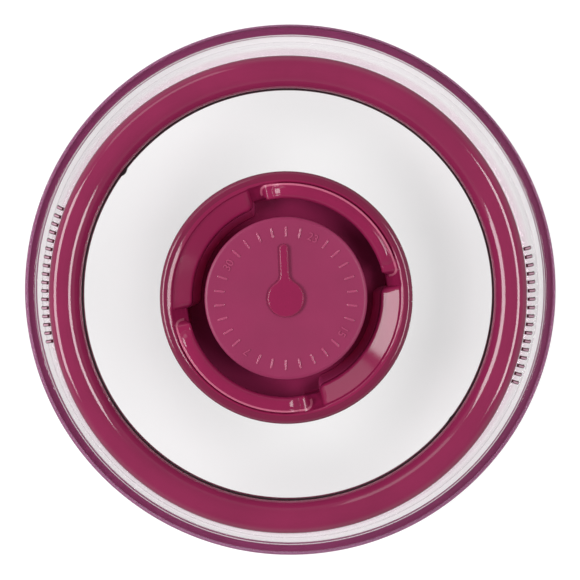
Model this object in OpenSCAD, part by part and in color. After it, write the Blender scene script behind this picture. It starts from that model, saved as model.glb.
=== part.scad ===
// Vacuum food dome: a clear dome with a press-down top, a finger handle and a date dial.
// The origin is on the surface that the dome stands on, at its centre, with +Z up.

/* [Dome] */
// Diameter over the base flange
outer_d = 230; // [200:1:260]
// Height of the clear body, which is also the height of the window's top
dome_h = 50; // [42:1:70]
// Thickness of the clear wall
wall_t = 2.5; // [1.8:0.1:2.8]
// How far the base flange stands out past the foot of the wall
flange_w = 5; // [4.6:0.1:8]
// Thickness of the base flange
flange_t = 2.5; // [1.8:0.1:4]
// Thickness of the flange's downturned edge
skirt_t = 1.1; // [1:0.1:2]
// How far the flange's downturned edge reaches down
skirt_drop = 4.5; // [2:0.1:4.8]
// How far the wall leans inward on its way up
wall_lean = 7.6; // [4:0.2:14]
// Rounding of the shoulder
shoulder_r = 3.2; // [3:0.1:6]

/* [Grip ribs] */
// Number of ribs in each of the two patches
rib_count = 17; // [3:1:31]
// Angle from one rib to the next
rib_pitch = 2; // [1.5:0.1:3]
// Width of a rib along the shoulder
rib_w = 1.4; // [0.8:0.1:2]
// How far a rib stands proud
rib_proud = 0.8; // [0.4:0.1:1.2]
// How far a rib runs down the wall below the shoulder
rib_run = 3; // [0:0.5:10]
// Direction of the first patch's middle
rib_turn = -4.9; // [-90:0.1:90]

/* [Base seal] */
// Height of the seal under the flange
seal_h = 8; // [7:0.2:12]
// Width of the seal's body
seal_w = 3.8; // [3:0.1:4.4]
// Height of the seal's flat foot at its edge
foot_edge_h = 0.9; // [0.6:0.1:1.2]

/* [Press ring] */
// Width of the rolled ring
ring_w = 13.6; // [13:0.2:20]
// Height of the ring's crest over the clear body
ring_rise = 7; // [5:0.5:10]
// Thickness of the ring's rolled skin
ring_skin = 1.8; // [1:0.1:2.2]
// How far the crest lies outward of the ring's middle
crest_shift = 0.4; // [0:0.1:1.5]
// Fullness of the roll outside its crest, from an ellipse to a squarer crown
ring_crown = 2.7; // [2:0.1:4]
// Fullness of the flank that falls towards the window
inner_crown = 1.8; // [1.6:0.1:3]
// Thickness of the flat feet that lie on the lip and on the window
ring_foot_t = 1.5; // [1:0.1:2]
// Thickness of the ring's flanges below the lip and the window
ring_flange_t = 1.4; // [1:0.1:2]
// Thickness of the necks between feet and flanges
ring_neck_t = 1.3; // [1:0.1:1.6]
// How far the ring covers the clear body's lip
lip_grip = 4; // [3:0.1:4.8]
// How far the ring covers the window
window_grip = 3.2; // [2.4:0.1:4]
// Width of the two notches in the ring's inner edge
notch_w = 3.7; // [2:0.1:6]
// Depth of the two notches in the ring's inner edge
notch_depth = 0.8; // [0.4:0.1:1.2]
// Direction of the first notch
notch_turn = 142.5; // [0:0.5:180]

/* [Window] */
// Thickness of the clear window
window_t = 3; // [2:0.1:4]

/* [Handle] */
// Diameter of the handle at its widest
handle_d = 102.6; // [99:0.2:112]
// Diameter of the handle's foot
handle_foot_d = 94; // [90:0.5:98]
// Height of the handle's rim over the window
handle_h = 26; // [23:0.5:36]
// Thickness of the handle's walls
handle_wall = 2.4; // [2:0.1:3]
// Thickness of the well's floor
well_floor_t = 2.2; // [1.6:0.1:3]
// Rounding of the rim
rim_r = 2.2; // [1.8:0.1:2.4]
// Angle that each raised lip covers
lip_span = 85; // [70:1:88]
// Direction of the first lip's middle
lip_turn = 57.8; // [0:0.1:180]
// Angle of the stop at each end of a lip
stop_span = 9; // [5:0.5:12]
// Diameter inside the raised lips
lip_inner_d = 80.4; // [79:0.2:84]
// Radius of the lips' rounded inner edge
lip_edge_r = 2.3; // [1.8:0.1:2.6]
// How far the lips stand over the rim
lip_proud = 0.8; // [0:0.1:1.2]
// Diameter inside the sloped ramps
ramp_foot_d = 77.6; // [76:0.2:79]
// Fall of the ramps from the rim to their inner edge
ramp_drop = 5; // [3:0.1:8]
// How far the ramps' inner walls lean towards the dial on their way down
apron_lean = 3.4; // [0:0.1:3.6]
// Fall of the stops from the rim to their inner edge
stop_drop = 7.5; // [5:0.1:10]

/* [Handle base] */
// Gap between the handle base and the window
base_gap = 0.4; // [0.3:0.1:0.6]
// Thickness of the handle base
base_t = 2.6; // [2.4:0.1:4]
// Air space between the handle base and the floor of the well
air_h = 1.8; // [1:0.1:4]
// Diameter of the spigot through the window
spigot_d = 32; // [30:0.5:35]
// Wall of the spigot
spigot_wall = 2.8; // [2:0.1:3.2]
// How far the spigot reaches down below the window
spigot_drop = 11; // [9:0.5:16]
// Thickness of the gasket
gasket_t = 1; // [0.8:0.1:1.4]
// Width of the gasket
gasket_w = 3.4; // [2:0.1:3.8]
// Height of the lock ring
lock_h = 7; // [5:0.5:9]
// Width of the lock ring
lock_w = 6; // [5:0.5:10]
// Number of finger lugs on the lock ring
lug_count = 8; // [4:1:12]

/* [Screws] */
// Diameter of the screws
screw_d = 2.2; // [2:0.1:2.6]
// Length of the screws below the head
screw_l = 9; // [6:0.5:10]
// Diameter of the screw heads
screw_head_d = 5.2; // [4.4:0.1:5.6]
// Height of the screw heads
screw_head_h = 1.3; // [1:0.1:1.4]
// Radius of the circle that the screws stand on
screw_ring_r = 24.4; // [24:0.1:24.8]

/* [Valve] */
// Depth of the valve seat below the window
seat_drop = 1; // [0:0.5:3]
// Thickness of the valve seat
seat_t = 2; // [1.6:0.1:3]
// Number of air holes in the valve seat
air_count = 6; // [3:1:8]
// Diameter of the air holes
air_d = 3; // [2:0.1:3.4]
// Radius of the circle of air holes
air_ring_r = 6.2; // [5.8:0.1:6.4]
// Diameter of the silicone valve
valve_d = 21; // [20:0.5:24]
// Height of the valve's button over its seat
valve_h = 4; // [3:0.2:5]
// Diameter of the valve's root
valve_root_d = 4.6; // [4:0.1:5]

/* [Release] */
// How far the dial presses down
release_travel = 2; // [1:0.1:2.5]
// Diameter of the button's stem
stem_d = 6; // [5:0.1:7]
// Thickness of the button's plate
plate_t = 2; // [1.6:0.1:3]
// Room for the spring below the plate
spring_room = 7.5; // [6.5:0.5:10]
// Diameter of the spring's wire
wire_d = 1; // [0.6:0.1:1.2]
// Number of turns in the spring
spring_turns = 4.5; // [3:0.5:5]
// Diameter of the stem's guide
guide_d = 12.8; // [11:0.1:14]
// Number of vents round the boss under the dial
vent_count = 6; // [2:1:8]

/* [Dial] */
// Diameter of the dial
dial_d = 65.7; // [62:0.1:70]
// Thickness of the dial
dial_t = 2.5; // [2:0.1:3.5]
// Height of the dial over the rim
dial_proud = 2.5; // [1:0.1:6]
// Thickness of the dial's turned-down edge
dial_edge_t = 1.45; // [1.2:0.05:2]
// Height of the dial's turned-down edge
dial_edge_h = 5.5; // [4.6:0.1:7]
// Number of places on the dial
place_count = 30; // [12:1:31]
// Length of a raised mark
mark_l = 4.5; // [3:0.1:6]
// Width of a raised mark
mark_w = 1; // [0.6:0.1:1.4]
// Height of a raised mark
mark_h = 0.4; // [0.2:0.1:0.6]
// Gap between the marks and the dial's edge
mark_margin = 3.7; // [2:0.1:5]
// Diameter of the dial's bearing
dial_bore_d = 8; // [7:0.1:9]

/* [Pointer] */
// Diameter of the pointer's hub
hub_d = 15; // [13:0.1:18]
// Width of the pointer's hand
hand_w = 3.8; // [2.6:0.1:4.6]
// Reach of the pointer's hand from the centre
hand_reach = 22; // [16:0.1:23]
// Thickness of the pointer
pointer_t = 1.2; // [0.8:0.1:2]
// Radius that blends the hand into the hub
hand_blend_r = 4; // [2:0.1:5]
// Direction of the hand
hand_turn = 92.6; // [0:0.1:360]
// Diameter of the pointer's pin in the stem
pin_d = 3.2; // [2.4:0.1:3.4]
// Length of the pointer's pin in the stem
pin_l = 6; // [4:0.5:10]

/* [Fits] */
// Clearance where one piece seats in another
seat_gap = 0.15; // [0.1:0.01:0.2]
// Gap between pieces that move apart
move_gap = 0.3; // [0.3:0.01:0.4]
// Radial clearance of a stem or bearing in its bore
run_gap = 0.06; // [0.04:0.01:0.09]

/* [Hidden] */
$fn = 96;

maroon = "#8f2350";
deep_maroon = "#7c1b45";
matte_maroon = "#96305a";
clear_plastic = [0.90, 0.92, 0.93, 0.45];
steel = "#b9bcc0";
white_silicone = "#e6e2e0";

// Heights, from the base up
flange_z = seal_h + flange_t;
lip_z = dome_h - wall_t;
window_z = dome_h - window_t;
base_z = dome_h + base_gap;
base_top_z = base_z + base_t;
floor_under_z = base_top_z + air_h;
floor_z = floor_under_z + well_floor_t;
rim_z = dome_h + handle_h;
dial_top_z = rim_z + dial_proud;
dial_z = dial_top_z - dial_t;
plate_top_z = dial_z - 0.5;
plate_z = plate_top_z - plate_t;
boss_top_z = dial_z - release_travel - 2 * move_gap;
guide_top_z = plate_z - release_travel - 0.5;
web_t = 2;
web_top_z = plate_z - spring_room;
web_z = web_top_z - web_t;
guide_end_z = base_top_z + 3;
seat_top_z = window_z - seat_drop;
seat_z = seat_top_z - seat_t;
valve_top_z = seat_top_z + valve_h;
stem_tip_z = valve_top_z + move_gap;
spigot_end_z = window_z - spigot_drop;

// Radii, from the outside in
outer_r = outer_d / 2;
foot_r = outer_r - flange_w;
shoulder_out_r = foot_r - wall_lean;
ring_out_r = shoulder_out_r - shoulder_r;
ring_in_r = ring_out_r - ring_w;
lip_r = ring_out_r - lip_grip;
window_r = ring_in_r + window_grip;
seal_out_r = outer_r - skirt_t - seat_gap;
seal_in_r = seal_out_r - seal_w;
handle_r = handle_d / 2;
handle_foot_r = handle_foot_d / 2;
base_r = handle_foot_r - handle_wall - seat_gap;
lip_inner_r = lip_inner_d / 2;
lip_outer_r = handle_r - 2 * rim_r - 0.4;
ramp_foot_r = ramp_foot_d / 2;
dial_r = dial_d / 2;
boss_r = dial_r - dial_edge_t - 3 * move_gap;
boss_in_r = boss_r - 2.5;
plate_r = boss_in_r - 2 * move_gap;
spigot_r = spigot_d / 2;
spigot_bore_r = spigot_r - spigot_wall;
stem_r = stem_d / 2;
stem_bore_r = stem_r + run_gap;
guide_r = guide_d / 2;
dial_bore_r = dial_bore_d / 2 + run_gap;
spring_r = guide_r + 2 * wire_d;
groove_r = stem_r - 0.8;
clip_t = 0.8;
clip_z = guide_end_z - move_gap - clip_t;
pilot_r = screw_d / 2 + 0.05;
screw_boss_r = screw_d / 2 + 2;
gasket_in_r = spigot_r + 0.6;
mark_out_r = dial_r - mark_margin;
mark_in_r = mark_out_r - mark_l;
place_angle = 360 / place_count;
first_place = 90;

// The handle's sectors, turning anticlockwise from the first lip's start
lip_start = lip_turn - lip_span / 2;
ramp_span = 180 - lip_span - 2 * stop_span;
ramp_start = lip_start + lip_span + stop_span;
rim_c_r = handle_r - rim_r;
rim_c_z = rim_z - rim_r;

// Points along an arc in the profile plane
function arc_points(c_r, c_z, r, from, to, steps = 8) = [
  for (i = [0:steps])
    let (a = from + (to - from) * i / steps)
    [c_r + r * cos(a), c_z + r * sin(a)]
];

// Points over a rolled crown, from its outer foot (u = 1) to its inner foot (u = -1)
function crown_points(crest_r, out_w, in_w, foot_z, rise, steps = 20) = [
  for (i = [0:steps])
    let (
      a = 180 * i / steps,
      half_w = cos(a) > 0 ? out_w : in_w,
      power = cos(a) > 0 ? ring_crown : inner_crown
    )
    [
      crest_r + half_w * sign(cos(a)) * pow(abs(cos(a)), 2 / power),
      foot_z + rise * pow(abs(sin(a)), 2 / power)
    ]
];

function reversed(points) = [for (i = [len(points) - 1:-1:0]) points[i]];

// Radius of the handle's outer wall at a height
function handle_out_r(z) =
  handle_foot_r + (handle_r - handle_foot_r) * (z - base_z) / (rim_c_z - base_z);

module revolved(points, span = 360, from = 0) {
  rotate([0, 0, from])
    rotate_extrude(angle = span)
      polygon(points);
}

// Clear body and base

module dome_shell() {
  corner = 0.6;
  inner_r = max(shoulder_r - wall_t, 0.4);
  wall = concat(
    [
      [outer_r - skirt_t, seal_h],
      [outer_r - skirt_t, seal_h - skirt_drop],
      [outer_r - corner, seal_h - skirt_drop],
      [outer_r, seal_h - skirt_drop + corner]
    ],
    arc_points(outer_r - corner, flange_z - corner, corner, 0, 90, 4),
    arc_points(foot_r + 1.2, flange_z + 1.2, 1.2, 270, 186, 4),
    arc_points(shoulder_out_r - shoulder_r, dome_h - shoulder_r, shoulder_r, 8, 90),
    [[lip_r + 0.3, dome_h], [lip_r, dome_h - 0.3], [lip_r, lip_z + 0.3], [lip_r + 0.3, lip_z]],
    arc_points(shoulder_out_r - wall_t - inner_r, lip_z - inner_r, inner_r, 90, 8, 4),
    [[foot_r - wall_t, flange_z], [foot_r - wall_t, seal_h]]
  );
  color(clear_plastic)
    union() {
      revolved(wall);
      for (side = [0, 180])
        for (i = [0:rib_count - 1])
          grip_rib(rib_turn + side + (i - (rib_count - 1) / 2) * rib_pitch);
    }
}

// One rib, which follows the shoulder and runs a little way down the wall
module grip_rib(direction) {
  span = rib_w / shoulder_out_r * 180 / PI;
  top_r = shoulder_r + rib_proud;
  end_z = dome_h - shoulder_r - rib_run;
  lean = wall_lean * rib_run / (dome_h - shoulder_r - flange_z);
  shape = concat(
    [[ring_out_r + 0.6, dome_h - wall_t / 2]],
    arc_points(ring_out_r, dome_h - shoulder_r, top_r, 80, 4, 6),
    [[shoulder_out_r + lean + rib_proud * 0.5, end_z], [shoulder_out_r - 0.6, end_z - 0.6]]
  );
  revolved(shape, span, direction - span / 2);
}

module base_seal() {
  lip_edge_r = outer_r - 0.2;
  waist = 1.1;
  color(deep_maroon)
    revolved([
      [seal_in_r, 0],
      [lip_edge_r, 0],
      [lip_edge_r, foot_edge_h],
      [seal_out_r - 0.4, seal_h - skirt_drop - 1],
      [seal_out_r, seal_h - skirt_drop],
      [seal_out_r, seal_h],
      [seal_in_r, seal_h],
      [seal_in_r, seal_h - skirt_drop],
      [seal_in_r + waist, seal_h - skirt_drop - 0.8],
      [seal_in_r + waist, foot_edge_h + 0.8],
      [seal_in_r, foot_edge_h]
    ]);
}

module press_ring() {
  crest_r = (ring_out_r + ring_in_r) / 2 + crest_shift;
  out_w = ring_out_r - crest_r;
  in_w = crest_r - ring_in_r;
  foot_top = dome_h + ring_foot_t;
  rise = ring_rise - ring_foot_t;
  under_lip_z = lip_z - seat_gap;
  under_window_z = window_z - move_gap;
  neck_in_r = window_r + move_gap;
  neck_out_r = lip_r - seat_gap;
  section = concat(
    [[ring_out_r, dome_h]],
    crown_points(crest_r, out_w, in_w, foot_top, rise),
    [
      [ring_in_r, dome_h + move_gap],
      [neck_in_r, dome_h + move_gap],
      [neck_in_r, under_window_z],
      [ring_in_r - 0.6, under_window_z],
      [ring_in_r - 0.6, under_window_z - ring_flange_t],
      [neck_in_r + ring_neck_t, under_window_z - ring_flange_t],
      [neck_in_r + ring_neck_t, foot_top]
    ],
    reversed(crown_points(crest_r, out_w - ring_skin, in_w - ring_skin, foot_top, rise - ring_skin, 12)),
    [
      [neck_out_r - ring_neck_t, foot_top],
      [neck_out_r - ring_neck_t, under_lip_z - ring_flange_t],
      [ring_out_r - 1.2, under_lip_z - ring_flange_t],
      [ring_out_r - 1.2, under_lip_z],
      [neck_out_r, under_lip_z],
      [neck_out_r, dome_h]
    ]
  );
  color(maroon)
    difference() {
      revolved(section);
      for (side = [0, 180])
        rotate([0, 0, notch_turn + side])
          translate([ring_in_r - 1, -notch_w / 2, dome_h])
            cube([1 + notch_depth, notch_w, ring_foot_t]);
    }
}

// Window and handle

module window_panel() {
  edge = 0.4;
  hole_r = spigot_r + 2 * seat_gap;
  color(clear_plastic)
    revolved([
      [hole_r, window_z],
      [window_r - edge, window_z],
      [window_r, window_z + edge],
      [window_r, dome_h - edge],
      [window_r - edge, dome_h],
      [hole_r, dome_h]
    ]);
}

// Middle of the handle's outer wall at a height, where the inner forms take root
function wall_mid_r(z) = handle_out_r(z) - handle_wall / 2;

// Cup of the handle: outer wall with its rim, floor of the well, and boss
module handle_cup() {
  wall_in_r = handle_out_r(floor_z) - handle_wall;
  color(maroon)
    revolved(concat(
      [[handle_foot_r, base_z]],
      arc_points(rim_c_r, rim_c_z, rim_r, 0, 180, 14),
      [
        [rim_c_r - rim_r, rim_c_z - 1],
        [handle_out_r(rim_c_z - 2) - handle_wall, rim_c_z - 2],
        [wall_in_r, floor_z + 1],
        [wall_in_r - 1, floor_z],
        [boss_r, floor_z],
        [boss_r, boss_top_z - 0.5],
        [boss_r - 0.5, boss_top_z],
        [boss_in_r, boss_top_z],
        [boss_in_r, floor_under_z],
        [handle_foot_r - handle_wall, floor_under_z],
        [handle_foot_r - handle_wall, base_z]
      ]
    ));
}

// Where the ramps and stops leave the rim
ramp_top = [rim_c_r - (rim_r - 0.2) * cos(30), rim_c_z + (rim_r - 0.2) * sin(30)];

// Ramp for a fingertip between the lips, with the hollow below it left open
module ramp_web() {
  foot = [ramp_foot_r, rim_z - ramp_drop];
  slope = (ramp_top[1] - foot[1]) / (ramp_top[0] - foot[0]);
  under = handle_wall * sqrt(1 + slope * slope);
  root_z = rim_c_z - 0.6;
  apron_r = ramp_foot_r - apron_lean;
  revolved(
    [
      ramp_top,
      foot + [0.5, 0.5 * slope],
      foot - [0.1, 0.5],
      [apron_r, floor_under_z + 0.4],
      [apron_r + handle_wall + 0.2, floor_under_z + 0.4],
      [ramp_foot_r + handle_wall, foot[1] + slope * handle_wall - under],
      [wall_mid_r(root_z), root_z],
      [wall_mid_r(rim_c_z), rim_c_z]
    ],
    ramp_span + 0.6, ramp_start - 0.3
  );
}

// Opening in the floor of the well below a ramp
module ramp_pocket() {
  translate([0, 0, floor_under_z - 1])
    revolved(
      [
        [ramp_foot_r + handle_wall + 0.6, 0],
        [handle_foot_r - handle_wall - 0.8, 0],
        [handle_foot_r - handle_wall - 0.8, well_floor_t + 2],
        [ramp_foot_r + handle_wall + 0.6, well_floor_t + 2]
      ],
      ramp_span, ramp_start
    );
}

// Raised lip that the fingers hook behind
module finger_lip() {
  edge_c_r = lip_inner_r + lip_edge_r;
  edge_c_z = rim_z + lip_proud - lip_edge_r;
  under_z = edge_c_z - lip_edge_r;
  revolved(
    concat(
      [
        [wall_mid_r(under_z), under_z - 1.4],
        [wall_mid_r(rim_c_z), rim_c_z],
        [rim_c_r - rim_r + 0.4, rim_z - 1.5],
        [lip_outer_r, rim_z - 1.1],
        [lip_outer_r - 0.5, rim_z + lip_proud * 0.6],
        [lip_outer_r - 1.4, rim_z + lip_proud]
      ],
      arc_points(edge_c_r, edge_c_z, lip_edge_r, 90, 262, 12),
      [[rim_c_r - rim_r, under_z - 0.3]]
    ),
    lip_span, lip_start
  );
}

// Rounded end of a lip, a little inside the lip's own surfaces, free above the stop
module lip_end() {
  end_r = (lip_outer_r - lip_inner_r) / 2 - 0.15;
  end_z = rim_z + lip_proud - 0.05;
  low_z = rim_z + lip_proud - 2 * lip_edge_r + 0.15;
  translate([(lip_outer_r + lip_inner_r) / 2, 0, 0])
    revolved(
      concat(
        [[0, low_z], [end_r, low_z]],
        arc_points(end_r - 1.6, end_z - 1.6, 1.6, 0, 90, 6),
        [[0, end_z]]
      ),
      360, 40
    );
}

// Solid stop that closes a lip's finger space, lower than the ramp beside it
module lip_stop(from) {
  stop_z = rim_z - stop_drop;
  revolved(
    concat(
      [
        [wall_mid_r(floor_z), floor_under_z + 0.4],
        [wall_mid_r(rim_c_z), rim_c_z],
        ramp_top,
        [lip_inner_r + 3.4, stop_z + 0.9]
      ],
      arc_points(lip_inner_r + 2.2, stop_z - 1.4, 1.4, 90, 180, 4),
      [[lip_inner_r + 0.8, floor_under_z + 0.4]]
    ),
    stop_span, from
  );
}

module handle() {
  color(maroon)
    difference() {
      union() {
        difference() {
          handle_cup();
          for (side = [0, 180])
            rotate([0, 0, side])
              ramp_pocket();
        }
        for (side = [0, 180])
          rotate([0, 0, side]) {
            finger_lip();
            ramp_web();
            lip_stop(lip_start + lip_span - 0.2);
            lip_stop(lip_start - stop_span + 0.2);
            for (a = [lip_start, lip_start + lip_span])
              rotate([0, 0, a])
                lip_end();
          }
        handle_core();
      }
      for (i = [0:3])
        rotate([0, 0, 45 + 90 * i])
          translate([screw_ring_r, 0, base_top_z - 1])
            cylinder(r = pilot_r, h = screw_l);
      for (i = [0:vent_count - 1])
        rotate([0, 0, 360 * i / vent_count])
          translate([boss_in_r - 1, -3, web_top_z + 1])
            cube([boss_r - boss_in_r + 2, 6, boss_top_z - web_top_z - 2.6]);
      for (i = [0:3])
        rotate([0, 0, 90 * i])
          translate([(guide_r + boss_in_r) / 2, 0, web_z - 1])
            cylinder(d = 6, h = web_t + 2);
    }
}

// Spring web, stem guide and screw bosses inside the handle's boss
module handle_core() {
  difference() {
    union() {
      translate([0, 0, web_z])
        cylinder(r = boss_in_r + 1, h = web_t);
      translate([0, 0, guide_end_z])
        cylinder(r = guide_r, h = guide_top_z - guide_end_z);
      intersection() {
        for (i = [0:3])
          rotate([0, 0, 45 + 90 * i])
            translate([screw_ring_r, 0, base_top_z])
              cylinder(r = screw_boss_r, h = web_z + 1 - base_top_z);
        cylinder(r = boss_in_r + 1, h = rim_z);
      }
    }
    translate([0, 0, guide_end_z - 1])
      cylinder(r = stem_bore_r, h = guide_top_z - guide_end_z + 2);
  }
}

module handle_base() {
  groove_depth = gasket_t - base_gap;
  color(maroon)
    difference() {
      union() {
        revolved([
          [spigot_bore_r, spigot_end_z],
          [spigot_r - 0.6, spigot_end_z],
          [spigot_r, spigot_end_z + 0.6],
          [spigot_r, base_z],
          [base_r, base_z],
          [base_r, base_top_z - 0.5],
          [base_r - 0.5, base_top_z],
          [spigot_bore_r, base_top_z]
        ]);
        translate([0, 0, seat_z])
          cylinder(r = spigot_bore_r + 1, h = seat_t);
        revolved([
          [valve_d / 2 - 2.1, seat_top_z - 0.5],
          [valve_d / 2 - 0.7, seat_top_z - 0.5],
          [valve_d / 2 - 1.1, seat_top_z + 0.5],
          [valve_d / 2 - 1.7, seat_top_z + 0.5]
        ]);
      }
      translate([0, 0, base_z - 1])
        difference() {
          cylinder(r = gasket_in_r + gasket_w + seat_gap, h = 1 + groove_depth);
          translate([0, 0, -1])
            cylinder(r = gasket_in_r - seat_gap, h = 3 + groove_depth);
        }
      translate([0, 0, seat_z - 1])
        cylinder(d = valve_root_d + 2 * seat_gap, h = seat_t + 2);
      for (i = [0:air_count - 1])
        rotate([0, 0, 360 * i / air_count])
          translate([air_ring_r, 0, seat_z - 1])
            cylinder(d = air_d, h = seat_t + 2);
      for (i = [0:3])
        rotate([0, 0, 45 + 90 * i])
          translate([screw_ring_r, 0, base_z - 1]) {
            cylinder(d = screw_d + 0.6, h = base_t + 2);
            cylinder(d = screw_head_d + 0.4, h = 1 + screw_head_h + 0.1);
          }
    }
}

module handle_screws() {
  color(steel)
    for (i = [0:3])
      rotate([0, 0, 45 + 90 * i])
        translate([screw_ring_r, 0, base_z + 0.1])
          pan_screw();
}

// A screw standing head down, with a cross recess in the head
module pan_screw() {
  difference() {
    union() {
      cylinder(d1 = screw_head_d - 1, d2 = screw_head_d, h = 0.5);
      translate([0, 0, 0.5])
        cylinder(d = screw_head_d, h = screw_head_h - 0.5);
      translate([0, 0, screw_head_h - 0.1])
        cylinder(d = screw_d, h = screw_l - 1.1);
      translate([0, 0, screw_l + screw_head_h - 1.2])
        cylinder(d1 = screw_d, d2 = 0.6, h = 1.2);
    }
    for (a = [0, 90])
      rotate([0, 0, a])
        translate([-1.4, -0.3, -1])
          cube([2.8, 0.6, 1.7]);
  }
}

module panel_gasket() {
  color(white_silicone)
    revolved([
      [gasket_in_r, dome_h],
      [gasket_in_r + gasket_w, dome_h],
      [gasket_in_r + gasket_w, dome_h + gasket_t],
      [gasket_in_r, dome_h + gasket_t]
    ]);
}

module lock_ring() {
  bore_r = spigot_r + seat_gap;
  out_r = spigot_r + lock_w;
  color(maroon)
    union() {
      revolved([
        [bore_r, window_z],
        [out_r + 1.5, window_z],
        [out_r + 1.5, window_z - 1.6],
        [out_r, window_z - 2.2],
        [out_r, window_z - lock_h + 0.8],
        [out_r - 0.8, window_z - lock_h],
        [bore_r + 0.5, window_z - lock_h],
        [bore_r, window_z - lock_h + 0.5]
      ]);
      for (i = [0:lug_count - 1])
        rotate([0, 0, 360 * i / lug_count])
          translate([out_r - 1, -1.5, window_z - lock_h + 0.8])
            cube([2.2, 3, lock_h - 1.2]);
    }
}

module check_valve() {
  rim_r = valve_d / 2;
  root_r = valve_root_d / 2;
  seat_h = 0.5 + seat_gap;
  color(white_silicone)
    revolved([
      [0, seat_z - 3],
      [root_r - 0.8, seat_z - 3],
      [root_r + 0.7, seat_z - 1.2],
      [root_r + 0.7, seat_z - seat_gap],
      [root_r, seat_z - seat_gap],
      [root_r, seat_top_z + 0.4],
      [root_r + 1, seat_top_z + 1],
      [rim_r - 0.3, seat_top_z + seat_h],
      [rim_r, seat_top_z + seat_h + 0.3],
      [rim_r, seat_top_z + seat_h + 0.6],
      [root_r + 2.4, seat_top_z + 2.3],
      [root_r + 0.9, seat_top_z + valve_h - 0.6],
      [root_r + 0.3, seat_top_z + valve_h],
      [0, seat_top_z + valve_h]
    ]);
}

// Release button, pointer and dial

module release_button() {
  collar_r = spring_r - wire_d / 2 - 0.2;
  rest_r = dial_bore_r + 3;
  color(deep_maroon)
    difference() {
      union() {
        revolved([
          [0, plate_z],
          [plate_r - 0.4, plate_z],
          [plate_r, plate_z + 0.4],
          [plate_r, plate_top_z - 0.4],
          [plate_r - 0.4, plate_top_z],
          [rest_r, plate_top_z],
          [rest_r - 0.2, dial_z - move_gap],
          [0, dial_z - move_gap]
        ]);
        translate([0, 0, stem_tip_z + 0.5])
          cylinder(r = stem_r, h = plate_z - stem_tip_z + 0.5);
        translate([0, 0, stem_tip_z])
          cylinder(r1 = stem_r - 0.5, r2 = stem_r, h = 0.5);
        for (i = [0:3])
          rotate([0, 0, 45 + 90 * i])
            translate([collar_r + wire_d + 1, -0.8, plate_z - 1])
              cube([plate_r - collar_r - wire_d - 2, 1.6, 1.5]);
      }
      translate([0, 0, clip_z - 0.1])
        difference() {
          cylinder(r = stem_r + 1, h = clip_t + 0.2);
          translate([0, 0, -1])
            cylinder(r = groove_r, h = clip_t + 3);
        }
      translate([0, 0, dial_z - move_gap - pin_l])
        cylinder(r = pin_d / 2 + seat_gap / 3, h = pin_l + 1);
      for (side = [0, 180])
        rotate([0, 0, side])
          click_slot();
    }
}

// Slot that frees a springy finger in the plate, which clicks the dial from place to place
module click_slot() {
  finger_r = plate_r - 6;
  for (r = [finger_r - 2.4, finger_r + 1.6])
    translate([0, 0, plate_z - 2])
      rotate_extrude(angle = 50)
        translate([r, 0])
          square([0.8, plate_t + 4]);
  rotate([0, 0, 48])
    translate([finger_r - 2.4, 0, plate_z - 2])
      cube([4.8, 0.8, plate_t + 4]);
}

module stem_clip() {
  color(steel)
    translate([0, 0, clip_z])
      difference() {
        cylinder(r = stem_r + 2.6, h = clip_t);
        translate([0, 0, -1])
          cylinder(r = groove_r + 0.05, h = clip_t + 2);
        translate([0, -groove_r * 0.8, -1])
          cube([stem_r + 4, groove_r * 1.6, clip_t + 2]);
        for (a = [120, 240])
          rotate([0, 0, a])
            translate([groove_r + 0.4, 0, -1])
              cylinder(r = 0.7, h = clip_t + 2);
      }
}

// Coil with closed ends, swept along its helix
module button_spring() {
  steps = 20;
  sides = 8;
  count = floor(spring_turns * steps);
  low = web_top_z + 0.05 + wire_d / 2;
  high = plate_z - 0.05 - wire_d / 2;
  closed = 0.75;
  free_turns = spring_turns - 2 * closed;
  end_rise = wire_d * closed;
  function height(turn) =
    turn < closed ? low + wire_d * turn
    : turn > spring_turns - closed ? high - wire_d * (spring_turns - turn)
    : low + end_rise + (high - low - 2 * end_rise) * (turn - closed) / free_turns;
  rings = [
    for (i = [0:count])
      let (turn = i * spring_turns / count, a = 360 * turn)
      [
        for (j = [0:sides - 1])
          let (
            b = 360 * j / sides,
            r = spring_r + wire_d / 2 * cos(b)
          )
          [r * cos(a), r * sin(a), height(turn) + wire_d / 2 * sin(b)]
      ]
  ];
  points = [for (ring = rings) each ring];
  quads = [
    for (i = [0:count - 1])
      for (j = [0:sides - 1])
        let (k = (j + 1) % sides)
        each [
          [i * sides + j, (i + 1) * sides + j, (i + 1) * sides + k],
          [i * sides + j, (i + 1) * sides + k, i * sides + k]
        ]
  ];
  start = [for (j = [0:sides - 1]) j];
  end = [for (j = [sides - 1:-1:0]) count * sides + j];
  color(steel)
    polyhedron(points, concat(quads, [start, end]));
}

module pointer() {
  tip_r = hand_w / 2;
  hub_r = hub_d / 2;
  // Centre of the blending arc, which touches both the hand's side and the hub
  blend_x = sqrt(pow(hub_r + hand_blend_r, 2) - pow(tip_r + hand_blend_r, 2));
  pointer_z = dial_top_z + move_gap;
  color(maroon)
    union() {
      translate([0, 0, pointer_z])
        rotate([0, 0, hand_turn])
          linear_extrude(pointer_t)
            difference() {
              union() {
                circle(r = hub_r);
                translate([0, -tip_r])
                  square([hand_reach - tip_r, hand_w]);
                translate([hand_reach - tip_r, 0])
                  circle(r = tip_r);
                translate([hub_r / 2, -tip_r - hand_blend_r])
                  square([blend_x - hub_r / 2, hand_w + 2 * hand_blend_r]);
              }
              for (s = [-1, 1])
                translate([blend_x, s * (tip_r + hand_blend_r)])
                  circle(r = hand_blend_r);
            }
      translate([0, 0, dial_z - move_gap])
        cylinder(d = dial_bore_d, h = pointer_z + 0.2 - dial_z + move_gap);
      translate([0, 0, dial_z - move_gap - pin_l + 0.3])
        cylinder(d = pin_d, h = pin_l);
    }
}

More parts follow.
